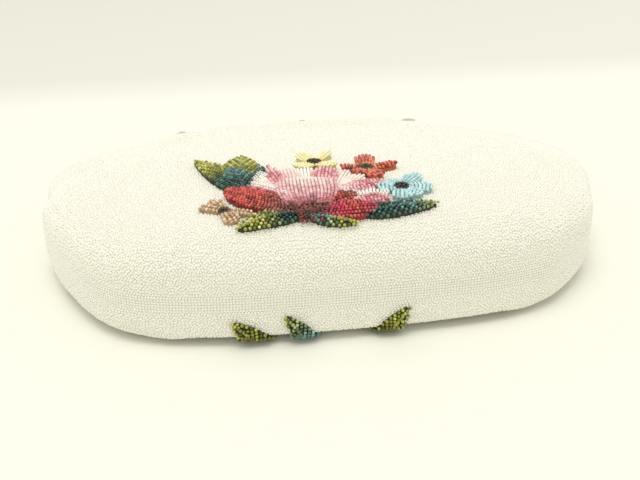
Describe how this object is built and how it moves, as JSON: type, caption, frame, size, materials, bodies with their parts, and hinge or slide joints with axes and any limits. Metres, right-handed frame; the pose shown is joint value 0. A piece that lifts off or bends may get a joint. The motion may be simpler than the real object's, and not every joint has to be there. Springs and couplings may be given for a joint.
{
  "type": "beaded handbag",
  "caption": "Rounded beaded evening handbag lying on its back, with a hinged metal frame, kiss lock, stiff beaded handle and a raised floral spray on each face.",
  "frame": {"origin": "point on the supporting surface under the middle of the bag's box, as the bag lies on its back", "axes": "+X across the bag, +Y from the base to the frame and handle, +Z out of the front face"},
  "size_m": [0.265, 0.2222, 0.0577],
  "materials": {
    "ground_beadwork": "cream seed beads sewn close together on cloth",
    "interlining": "stiff cotton buckram",
    "satin_lining": "ivory satin",
    "frame_metal": "silver-tone plated steel",
    "paper_cord": "twisted kraft paper",
    "handle_beadwork": "cream seed beads wound round a stiff core",
    "rose_beads": "pink, mauve and red seed beads",
    "yellow_beads": "yellow seed beads with a dark middle",
    "coral_beads": "coral seed beads with a dark middle",
    "blue_beads": "light blue seed beads with a dark middle",
    "bronze_beads": "bronze seed beads",
    "leaf_beads": "olive and dark green seed beads"
  },
  "bodies": {
    "bag": {"back_blue_flower": "blue_beads", "back_coral_flower": "coral_beads", "back_interlining": "interlining", "back_left_leaf": "leaf_beads", "back_lining": "satin_lining", "back_middle_leaf": "leaf_beads", "back_panel": "ground_beadwork", "back_right_leaf": "leaf_beads", "back_rose_petals": "rose_beads", "back_upper_left_leaf": "leaf_beads", "back_upper_right_leaf": "leaf_beads", "back_yellow_flower": "yellow_beads", "blue_flower": "blue_beads", "bronze_flower": "bronze_beads", "coral_flower": "coral_beads", "front_fold": "ground_beadwork", "front_interlining": "interlining", "front_lining": "satin_lining", "front_panel": "ground_beadwork", "inner_left_leaf": "leaf_beads", "inner_pocket": "satin_lining", "left_handle_pin": "frame_metal", "left_hinge_pin": "frame_metal", "lower_left_leaf": "leaf_beads", "lower_middle_leaf": "leaf_beads", "lower_right_leaf": "leaf_beads", "outer_left_leaf": "leaf_beads", "rear_clasp_knob": "frame_metal", "rear_frame": "frame_metal", "rear_frame_cord": "paper_cord", "right_handle_pin": "frame_metal", "right_hinge_pin": "frame_metal", "rose_heart": "rose_beads", "rose_petals": "rose_beads", "yellow_flower": "yellow_beads"},
    "front_half": {"front_frame": "frame_metal", "front_frame_cord": "paper_cord", "front_clasp_knob": "frame_metal", "front_yoke": "ground_beadwork"},
    "handle": {"handle_grip": "handle_beadwork", "left_handle_cap": "frame_metal", "right_handle_cap": "frame_metal"}
  },
  "joints": [
    {"name": "frame_open", "type": "hinge", "parent": "bag", "child": "front_half", "pos_m": [0, 0.04889, 0.021], "axis": [1, 0, 0], "range_deg": [0, 80], "deforming": ["front_fold"]},
    {"name": "handle_swing", "type": "hinge", "parent": "bag", "child": "handle", "pos_m": [0, 0.06039, 0.0225], "axis": [1, 0, 0], "range_deg": [0, 150]}
  ]
}
